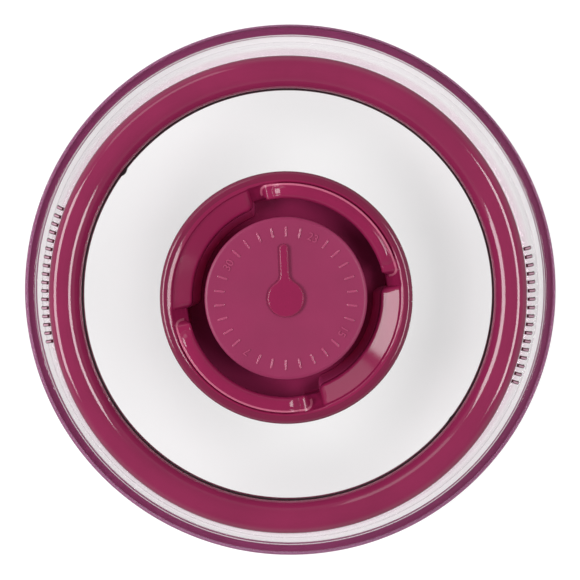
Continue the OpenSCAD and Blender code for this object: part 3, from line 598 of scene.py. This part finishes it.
# Raised lip at a distance beyond its end, negative on the lip: the top and rolled edge, then the way down to the floor
def lipPart(h, out):
    s, rimInR = max(out, 0.0), h["rimInR"]
    drop = h["noseBend"] * max(out + h["noseLong"], 0) ** 2
    corner = min(max((out - 0.6) / (h["endReach"] - 0.6), 0), 1)
    inR = h["lipInR"] + 2.2 * (1 - math.sqrt(1 - corner ** 2))
    base = h["grooveZ"] + (h["endZ"] - h["grooveZ"]) * float(smooth((out + 2) / (h["endReach"] + 2)))
    share = np.concatenate([
        [0, 0.03], np.linspace(0.05, 0.22, 11), np.linspace(0.26, 0.66, 8), np.linspace(0.74, 1, 5),
    ])
    part = []
    for r in rimInR - share * (rimInR - inR - 1.5):
        q = r - h["lipR"]
        rho = math.hypot(q, s) if q > 0 else s
        crownZ = float(np.interp(rho, lipSide[:, 0], lipSide[:, 1])) - (q * q / 13 if q < 0 else 0)
        low = max(base, 75.4 - (rimInR - r) * 3.0) if r > 46.8 else base
        part.append((float(r), max(low, crownZ - drop)))
    edgeZ = part[-1][1] + 0.12
    underZ = min(h["lipUnderZ"], edgeZ - 1.6)
    edge = min(h["lipEdge"], (edgeZ - underZ) / 2)
    wallR = 48.0 - 2.3 * float(smooth((out + h["closing"]) / h["closing"]))
    part += arc(inR + edge, edgeZ - edge, edge, 110, 262, 11)
    part += [(44.6, underZ + 0.15), (46.2, underZ), (wallR, underZ - 0.2)]
    return part


# Ramp from the rim down to its inner edge
def rampPart(h):
    slope = (h["rampOutZ"] - h["rampZ"]) / (h["rampOutR"] - h["rampR"])
    inR, z = h["rampR"], h["rampZ"]
    line = [
        (47.0, 75.46), (46.75, 75.38), (46.5, 75.26), (46.3, 75.02), (46.16, 74.66), (46.08, 74.34),
        (h["rampOutR"], h["rampOutZ"]), (inR + 0.8, z + slope * 0.8), (inR + 0.4, z + slope * 0.4 - 0.06),
        (inR + 0.12, z - 0.2), (inR, z - 0.6), (inR - 0.06, z - 1.4),
    ]
    return along(line, 41)


def mixed(a, b, share):
    return [(ar + (br - ar) * share, az + (bz - az) * share) for (ar, az), (br, bz) in zip(a, b)]


# The floor, the boss with its vents, the web and the stem guide, then back under the floor
def corePart(h, angle):
    low, bossR, bossInR, bossZ = h["floorZ"], h["bossR"], h["bossInR"], h["bossZ"]
    ventTurn = abs((angle + 180 / h["vents"]) % (360 / h["vents"]) - 180 / h["vents"])
    vent = h["ventDeep"] if ventTurn < math.degrees(h["ventWidth"] / 2 / bossR) else 0.0
    return (
        [(33.6, low), (32.6, low), (bossR + 0.6, low), (bossR + 0.15, low + 0.15), (bossR, low + 0.6)]
        + [(bossR, 62.0), (bossR, 66.9), (bossR - vent, 67.0), (bossR - vent, 71.6), (bossR, 71.7)]
        + arc(bossR - 0.5, bossZ - 0.5, 0.5, 0, 90, 3) + [(bossInR + 0.2, bossZ), (bossInR, bossZ - 0.2)]
        + [(bossInR, h["webTopZ"]), (h["guideR"], h["webTopZ"]), (h["guideR"], h["guideTopZ"])]
        + [(h["boreR"], h["guideTopZ"]), (h["boreR"], h["guideEndZ"]), (h["guideR"], h["guideEndZ"])]
        + [(h["guideR"], h["webZ"]), (bossInR, h["webZ"]), (bossInR, h["underZ"])]
        + [(h["footR"] - h["wall"] + 0.4, h["underZ"]), (h["footR"] - h["wall"], h["footZ"])]
    )


# One section of the handle at an angle, as (radius, height) points in a fixed order
def handleSection(h, angle):
    perDegree = math.radians(1) * h["lipR"]
    turn = abs((angle - h["lipTurn"] + 90) % 180 - 90)
    out = (turn - h["lipSpan"] / 2) * perDegree
    closing = float(smooth((out + h["closing"]) / h["closing"]))
    low = h["floorZ"]
    wallR = lambda z: h["footR"] + h["wallLean"] * (z - h["footZ"])
    section = [(h["footR"], h["footZ"])]
    section += [(wallR(z), z) for z in np.linspace(h["footZ"] + 0.3, h["beadZ"] - 1.2, 7)]
    section += arc(h["beadR"], h["beadZ"], h["bead"], -10, 100, 10) + [(48.25, 75.89), (47.8, 75.75), (47.3, 75.58)]
    hollow = [(wallR(z) - h["wall"], z) for z in (71.2, 70.2, 68.5, 66.5, 64.5, 62.5, 60.8, 59.6, 58.6)]
    hollow += arc(wallR(low) - h["wall"] - 1.4, low + 1.4, 1.4, 0, -90, 5)
    stopped = [(h["stopR"] + reach, z) for reach, z in (
        (0.4, 67.7), (0.2, 67.3), (0.05, 66.5), (0, 65.2), (0, 63.8), (0, 62.2), (0, 60.8), (0, 59.6), (0, 58.6),
    )]
    stopped += arc(h["stopR"] - 1.0, low + 1.0, 1.0, 0, -90, 5)
    block = along(saddle, 41) + stopped
    beyond = (out - h["stopSpan"] * perDegree) / h["rampRound"]
    if beyond > 0:
        upper = rampPart(h)
        lean = lambda t: upper[-1][0] - h["apron"] * (1 - t)
        rise = upper[-1][1] - low - 1.0
        lower = [(lean(t), low + 0.8 + rise * t) for t in (0.97, 0.9, 0.8, 0.68, 0.55, 0.42, 0.3, 0.18, 0.06)]
        lower += arc(lean(0) - 0.8, low + 0.8, 0.8, 0, -90, 5)
        section += mixed(upper + lower, block, 1 - math.sqrt(1 - max(1 - beyond, 0) ** 2))
    elif out > h["endReach"]:
        section += block
    else:
        lip = lipPart(h, out) + mixed(hollow, stopped, closing)
        section += mixed(lip, block, float(smooth(out / h["endReach"])))
    return section + corePart(h, angle)


# Limits in mm of the handle's patches of painted light, painted shade and painted highlight
handleLooks = {
    "wellR": 46.6, "wellZ": 67.9, "ridgeFrom": 2.0, "ridgeTo": 2.85, "ridgeZ": 69, "rimR": 47.95, "rimZ": 72.5,
}


def loftHandle(h, limits):
    angles = handleAngles(h, handleSteps)
    sections = [handleSection(h, a) for a in angles]
    wide = len(sections[0])
    points = []
    for a, section in zip(angles, sections):
        points += [(r * math.cos(math.radians(a)), r * math.sin(math.radians(a)), z) for r, z in section]
    faces = []
    for i in range(len(angles)):
        k = (i + 1) % len(angles)
        for j in range(wide):
            n = (j + 1) % wide
            faces.append((i * wide + j, k * wide + j, k * wide + n, i * wide + n))
    obj = settle(newObject("fingerHandle", points, faces), 40)
    for look in ("handleGloss", "wellPaintedLight", "apronPaintedLight", "ridgePaintedHighlight", "rimPaintedShade"):
        obj.data.materials.append(looks[look])
    well, apron, ridge, rim = 1, 2, 3, 4
    for face in obj.data.polygons:
        x, y, z = face.center / mm
        r = math.hypot(x, y)
        turn = abs((math.degrees(math.atan2(y, x)) - h["lipTurn"] + 90) % 180 - 90) - h["lipSpan"] / 2
        fromLip = math.hypot(max(r - h["lipR"], 0), max(turn * math.radians(1) * h["lipR"], 0))
        onRidge = limits["ridgeFrom"] < fromLip < limits["ridgeTo"] and r > h["lipR"] - 1
        # The channel by the boss gets painted light, and the ramps' aprons more of it
        if h["bossR"] - 1 < r < limits["wellR"] and h["floorZ"] - 0.5 < z < limits["wellZ"]:
            face.material_index = apron if turn > h["stopSpan"] and z > h["floorZ"] + 1 else well
        # The thin ridge beside each lip gets the painted highlight
        elif onRidge and z > limits["ridgeZ"] and face.normal.z > 0.2:
            face.material_index = ridge
        # The rim's top gets the painted shade
        elif r > limits["rimR"] and z > limits["rimZ"]:
            face.material_index = rim
    return obj


fingerHandle = loftHandle(handle, handleLooks)
place(fingerHandle, "press_head", "handle_plastic", "handle")
print("handle made:", len(fingerHandle.data.polygons), "faces")


# Date dial: a matte disc with raised marks and numbers, and the pointer over it
dial = {
    "radius": 32.85, "top": 78.5, "low": 76.0, "skirtZ": 73.0, "skirt": 1.45, "skirtRound": 0.3, "boreR": 4.06,
    "places": 30, "markIn": 24.65, "markLong": 4.5, "markWide": 1.0,
    "numbers": {2: "23", 10: "15", 18: "7", 25: "30"},
    "numberR": 26.6, "numberSize": 4.6, "numberHigh": 0.35, "numberHalf": 0.3, "numberBolder": 0.02,
}
# A mark's rows: how far each is in from the edge, and its height over the dial
markRows = [(0, -0.3), (0.0, 0.12), (0.07, 0.25), (0.19, 0.34), (0.36, 0.4)]


def dialSection(d):
    radius, top, skirtR = d["radius"], d["top"], d["radius"] - d["skirt"]
    return (
        [(d["boreR"], d["low"]), (skirtR, d["low"]), (skirtR, d["skirtZ"])]
        + arc(radius - d["skirtRound"], d["skirtZ"] + d["skirtRound"], d["skirtRound"], -90, 0, 3)
        + [(radius, top - 0.8), (radius - 0.08, top - 0.5), (radius - 0.28, top - 0.32), (radius - 0.95, top - 0.05)]
        + [(radius - 1.15, top), (radius - 1.6, top), (18, top), (10, top), (d["boreR"], top)]
    )


# A raised mark with sloping flanks and round ends, along +X
def markShape(d):
    long, wide = d["markLong"] / 2, d["markWide"] / 2
    middle = d["markIn"] + long
    points, loops = [], []
    for inset, rise in markRows:
        loop = []
        for sx, start in ((1, -90), (-1, 90)):
            for a in np.radians(np.linspace(start, start + 180, 5)):
                x, y = (wide - inset) * math.cos(a), (wide - inset) * math.sin(a)
                loop.append((middle + sx * (long - wide) + x, y, d["top"] + rise))
        loops.append(range(len(points), len(points) + len(loop)))
        points += loop
    return points, [tuple(loops[-1]), tuple(reversed(loops[0]))] + bridge(loops)


# Raised numbers from the built-in letter shapes, their feet towards the middle
def numberPiece(d, spot, text):
    curve = bpy.data.curves.new("number", "FONT")
    curve.body, curve.size, curve.align_x, curve.align_y = text, d["numberSize"] * mm, "CENTER", "CENTER"
    curve.extrude, curve.offset = d["numberHalf"] * mm, d["numberBolder"] * mm
    curve.resolution_u = 4
    letter = bpy.data.objects.new("number", curve)
    scene.collection.objects.link(letter)
    graph = bpy.context.evaluated_depsgraph_get()
    mesh = bpy.data.meshes.new_from_object(letter.evaluated_get(graph), depsgraph=graph)
    bpy.data.objects.remove(letter)
    angle = math.radians(-360 / d["places"] * spot)
    up = d["top"] + d["numberHigh"] - d["numberHalf"]
    mesh.transform(Matrix.Rotation(angle, 4, "Z") @ Matrix.Translation((0, d["numberR"] * mm, up * mm)))
    obj = bpy.data.objects.new("number" + text, mesh)
    scene.collection.objects.link(obj)
    return obj


def joinInto(target, others):
    work = bmesh.new()
    for obj in [target] + others:
        work.from_mesh(obj.data)
    work.to_mesh(target.data)
    work.free()
    for obj in others:
        bpy.data.objects.remove(obj)


dialDisc = sweptPiece("dialDisc", dialSection(dial), "dialMatte", 300, 40)
# The marks and numbers carry the painted highlight
dialMarks = newObject("markCopies", *markShape(dial))
applyTree(dialMarks, copyTree("markCopies", list(dial["numbers"])), {
    "Count": dial["places"], "Per Group": float(dial["places"]), "Pitch": -360.0 / dial["places"],
    "First Angle": 90.0, "Group Turn": 0.0, "Material": looks["markPaintedHighlight"],
})
joinInto(dialMarks, [numberPiece(dial, spot, text) for spot, text in dial["numbers"].items()])
settle(dialMarks, 40)
for piece, name, look in ((dialDisc, "dialDisc", "dialMatte"), (dialMarks, "dialMarks", "markPaintedHighlight")):
    piece.name = name
    piece.data.materials.clear()
    piece.data.materials.append(looks[look])
place(dialDisc, "date_dial", "dial_plastic", "date_dial")
place(dialMarks, "date_dial", "dial_plastic")

hand = {
    "hubR": 7.5, "width": 3.8, "reach": 22.0, "blend": 4.0, "turn": 92.6, "low": 78.8, "high": 80.0, "edge": 0.65,
    "boreR": 4.0, "boreZ": 75.7, "pinR": 1.6, "pinZ": 70.0, "pinSteps": 48,
}


# Outline of the hub and hand, which lies along +X
def handOutline(g, inset):
    tip, hub, blend = g["width"] / 2, g["hubR"], g["blend"]
    blendX = math.sqrt((hub + blend) ** 2 - (tip + blend) ** 2)
    touch = math.degrees(math.atan2(tip + blend, blendX))
    half = []
    for a in np.radians(np.linspace(0, 90, 9)):
        half.append((g["reach"] - tip + (tip - inset) * math.cos(a), (tip - inset) * math.sin(a)))
    for a in np.radians(np.linspace(270, 180 + touch, 9)):
        half.append((blendX + (blend + inset) * math.cos(a), tip + blend + (blend + inset) * math.sin(a)))
    for a in np.radians(np.linspace(touch, 180, 28)[1:]):
        half.append(((hub - inset) * math.cos(a), (hub - inset) * math.sin(a)))
    return half + [(x, -y) for x, y in reversed(half[1:-1])]


# The hand and hub, with the pin that the button carries it on
def makeHand(g):
    points, loops = [], []
    high, edge = g["high"], g["edge"]
    for inset, z in ((0, g["low"]), (0, high - 0.5), (0.12, high - 0.28), (edge - 0.1, high - 0.02), (edge, high)):
        outline = handOutline(g, inset)
        loops.append(range(len(points), len(points) + len(outline)))
        c, s = math.cos(math.radians(g["turn"])), math.sin(math.radians(g["turn"]))
        points += [(x * c - y * s, x * s + y * c, z) for x, y in outline]
    faces = bridge(loops) + [tuple(loops[-1]), tuple(reversed(loops[0]))]
    boreR, boreZ, pinR, steps, pinLoops = g["boreR"], g["boreZ"], g["pinR"], g["pinSteps"], []
    for r, z in ((boreR, g["low"] + 0.2), (boreR, boreZ), (pinR, boreZ), (pinR, g["pinZ"])):
        pinLoops.append(range(len(points), len(points) + steps))
        for i in range(steps):
            points.append((r * math.cos(2 * math.pi * i / steps), r * math.sin(2 * math.pi * i / steps), z))
    faces += bridge(pinLoops) + [tuple(pinLoops[0]), tuple(pinLoops[-1])]
    return settle(newObject("dialHand", points, faces), 50)


# Hidden working parts: the coil spring and the soft valve
coil = {"radius": 8.4, "wire": 0.5, "low": 66.6, "high": 72.9, "turns": 4.5, "closed": 0.75, "perTurn": 30, "sides": 12}


def coilShape(g):
    points, loops = [], []
    count, sides = int(g["turns"] * g["perTurn"]), g["sides"]
    endRise = 2 * g["wire"] * g["closed"]
    turns = [0, g["closed"], g["turns"] - g["closed"], g["turns"]]
    heights = [g["low"], g["low"] + endRise, g["high"] - endRise, g["high"]]
    for i in range(count + 1):
        z = np.interp(i / g["perTurn"], turns, heights)
        a = 2 * math.pi * (i / g["perTurn"])
        loops.append(range(i * sides, (i + 1) * sides))
        for j in range(sides):
            b = 2 * math.pi * j / sides
            r = g["radius"] + g["wire"] * math.cos(b)
            points.append((r * math.cos(a), r * math.sin(a), z + g["wire"] * math.sin(b)))
    return points, bridge(loops) + [tuple(reversed(loops[0])), tuple(loops[-1])]


buttonSpring = settle(newObject("coilSpring", *coilShape(coil)), 50)
buttonSpring.data.materials.append(looks["drawnSteel"])
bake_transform(buttonSpring)
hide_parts("button_spring")

# The valve's section: stem with its bead, the thin flap, and the button's seat above
valve = [
    (0, 41), (1.5, 41), (3, 42.8), (3, 43.9), (2.3, 43.9), (2.3, 46.4), (3.3, 47.0), (10.2, 46.52), (10.5, 46.82),
    (10.5, 47.1), (7.6, 47.7), (6.2, 48.0), (4.7, 48.4), (3.9, 48.9), (3.2, 49.4), (3.05, 49.75), (2.6, 50), (0, 50),
]
softValve = sweptPiece("softValve", valve, "paleSilicone", 96, 40)
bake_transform(softValve)
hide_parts("check_valve")

dialHand = makeHand(hand)
dialHand.data.materials.append(looks["handleGloss"])
place(dialHand, "release_button", "handle_plastic", "pointer")
print("dial and hand made")


# Floor and backdrop: seen, through and mirrored are its brightness to the camera, through clear pieces and in gloss
stageFloor = {
    "half": 4000, "z": -0.2, "grey": 0.35, "roughness": 0.9, "shine": 0.1,
    "seen": 0.80, "through": 0.60, "mirrored": 0.15,
}


def floorMaterial(name, finish):
    material, tree, shader = newMaterial(name)
    shader.inputs["Base Color"].default_value = (finish["grey"],) * 3 + (1,)
    shader.inputs["Roughness"].default_value = finish["roughness"]
    shader.inputs["Specular IOR Level"].default_value = finish["shine"]
    rays = put(tree, "ShaderNodeLightPath").outputs
    seen = maths(tree, "MULTIPLY", rays["Is Camera Ray"], finish["seen"])
    through = maths(tree, "MULTIPLY", rays["Is Transmission Ray"], finish["through"])
    mirrored = maths(tree, "MULTIPLY", rays["Is Glossy Ray"], finish["mirrored"])
    strength = maths(tree, "MAXIMUM", maths(tree, "MAXIMUM", seen, through), mirrored)
    glow = put(tree, "ShaderNodeEmission", None, {"Color": (1, 1, 1, 1), "Strength": strength})
    both = put(tree, "ShaderNodeAddShader", None, {0: shader.outputs[0], 1: glow.outputs[0]})
    tree.links.new(both.outputs[0], tree.nodes["Material Output"].inputs["Surface"])
    return material


half = stageFloor["half"]
floorCorners = [(x * half, y * half, stageFloor["z"]) for x, y in ((-1, -1), (1, -1), (1, 1), (-1, 1))]
floorPiece = newObject("floor", floorCorners, [(0, 1, 2, 3)])
floorPiece.data.materials.append(floorMaterial("paleFloor", stageFloor))

# Light: a pale room, darker overhead, with a tall soft box each side and a dim panel at the back left
light = {"room": 0.86, "overhead": 0.22, "roomSeen": 1.0, "fadeFrom": 0.1, "fadeTo": 0.75}
lamps = {
    "leftBox": {"turn": 180, "tilt": 46, "far": 1.2, "size": (0.42, 0.78), "glow": 9.4},
    "rightBox": {"turn": 0, "tilt": 31, "far": 1.2, "size": (0.26, 0.74), "glow": 11},
    "backPanel": {"turn": 126, "tilt": 45, "far": 1.3, "size": (0.34, 0.60), "glow": 1.8},
}
lampsFace = (0, 0, 0.06)
world = bpy.data.worlds.new("paleRoom")
scene.world = world
world.use_nodes = True
worldTree = world.node_tree
roomGlow = worldTree.nodes["Background"]
heading = put(worldTree, "ShaderNodeTexCoord").outputs["Generated"]
height = put(worldTree, "ShaderNodeSeparateXYZ", None, {"Vector": heading}).outputs["Z"]
shade = put(worldTree, "ShaderNodeMapRange", None, {
    "Value": height, "From Min": light["fadeFrom"], "From Max": light["fadeTo"],
    "To Min": light["room"], "To Max": light["overhead"],
})
roomGlow.inputs["Color"].default_value = (1, 1, 1, 1)
worldTree.links.new(shade.outputs[0], roomGlow.inputs["Strength"])
seenRoom = put(worldTree, "ShaderNodeBackground", None, {"Color": (1, 1, 1, 1), "Strength": light["roomSeen"]})
worldRays = put(worldTree, "ShaderNodeLightPath").outputs
roomShown = maths(worldTree, "MAXIMUM", worldRays["Is Camera Ray"], worldRays["Is Transmission Ray"])
roomMix = put(worldTree, "ShaderNodeMixShader", None, {0: roomShown, 1: roomGlow.outputs[0], 2: seenRoom.outputs[0]})
worldTree.links.new(roomMix.outputs[0], worldTree.nodes["World Output"].inputs["Surface"])


# A lamp that faces the lid from a heading and a tilt off the vertical; glow is its brightness where white is 1
def addLamp(name, lamp):
    turn, tilt = math.radians(lamp["turn"]), math.radians(lamp["tilt"])
    toward = Vector((math.cos(turn) * math.sin(tilt), math.sin(turn) * math.sin(tilt), math.cos(tilt)))
    data = bpy.data.lights.new(name, "AREA")
    data.shape, data.size, data.size_y = "RECTANGLE", lamp["size"][0], lamp["size"][1]
    data.energy = lamp["glow"] * math.pi * lamp["size"][0] * lamp["size"][1]
    obj = bpy.data.objects.new(name, data)
    across = Vector((-math.sin(turn), math.cos(turn), 0))
    facing = Matrix((toward.cross(across).normalized() * -1, across, toward)).transposed().to_4x4()
    obj.matrix_world = Matrix.Translation(Vector(lampsFace) + toward * lamp["far"]) @ facing
    scene.collection.objects.link(obj)


for name, lamp in lamps.items():
    addLamp(name, lamp)

# Camera: above the lid, a little to the right and the back
view = {"from": (0.022, 0.043, 1.0), "aim": (0.0001, 0.0003, 0.007), "lens": 142.05, "sensor": 36, "clip": (0.02, 30)}
cameraData = bpy.data.cameras.new("camera")
cameraData.lens, cameraData.sensor_width = view["lens"], view["sensor"]
cameraData.clip_start, cameraData.clip_end = view["clip"]
camera = bpy.data.objects.new("camera", cameraData)
scene.collection.objects.link(camera)
forward = (Vector(view["aim"]) - Vector(view["from"])).normalized()
right = forward.cross(Vector((0, 1, 0))).normalized()
upward = right.cross(forward)
camera.matrix_world = Matrix.Translation(view["from"]) @ Matrix((right, upward, -forward)).transposed().to_4x4()
scene.camera = camera
scene.view_settings.view_transform = "Standard"
print("camera and light set")
